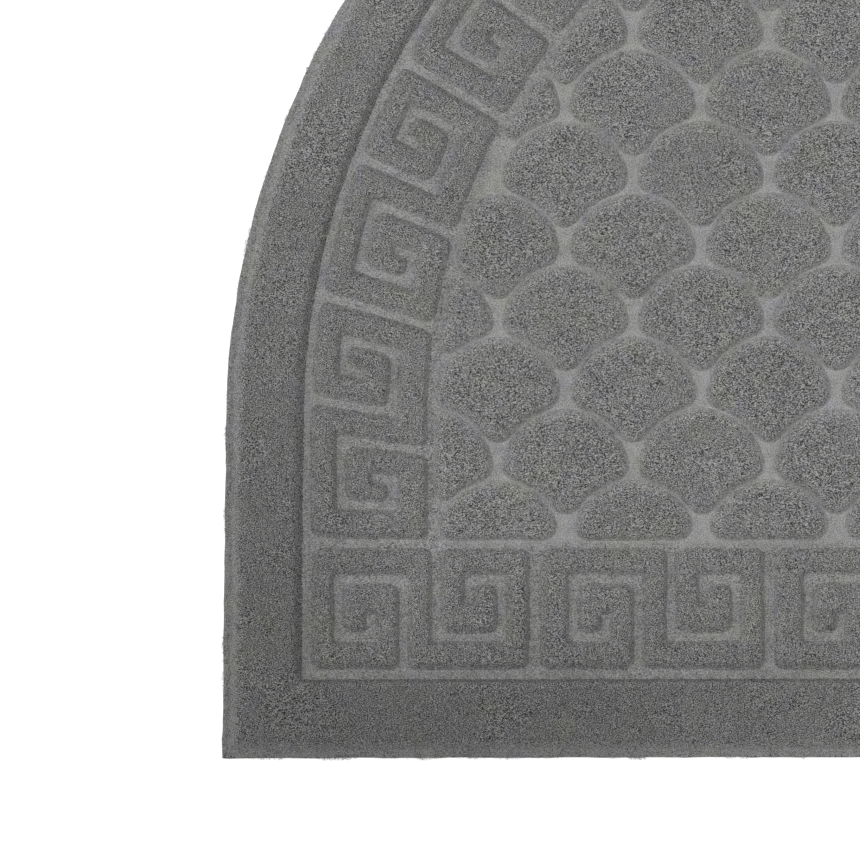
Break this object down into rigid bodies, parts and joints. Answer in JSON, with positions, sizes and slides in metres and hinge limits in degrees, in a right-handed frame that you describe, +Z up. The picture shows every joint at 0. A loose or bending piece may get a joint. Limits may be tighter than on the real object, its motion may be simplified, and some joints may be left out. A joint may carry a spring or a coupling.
{
  "type": "half-round doormat",
  "caption": "Half-round felt doormat with a flat underside, its pile pressed into a plain border, a Greek-key run and a field of fish scales.",
  "frame": {"origin": "middle of the underside: centre of the bounding box in X and Y, at the floor", "axes": "+X along the straight edge, +Y from the straight edge to the crown of the arch, +Z up out of the pile"},
  "size_m": [0.75, 0.456, 0.007],
  "materials": {
    "felt": "matte heathered grey needle felt, smoother and lighter where it is pressed"
  },
  "bodies": {
    "root": {"mat": "felt"}
  },
  "joints": []
}
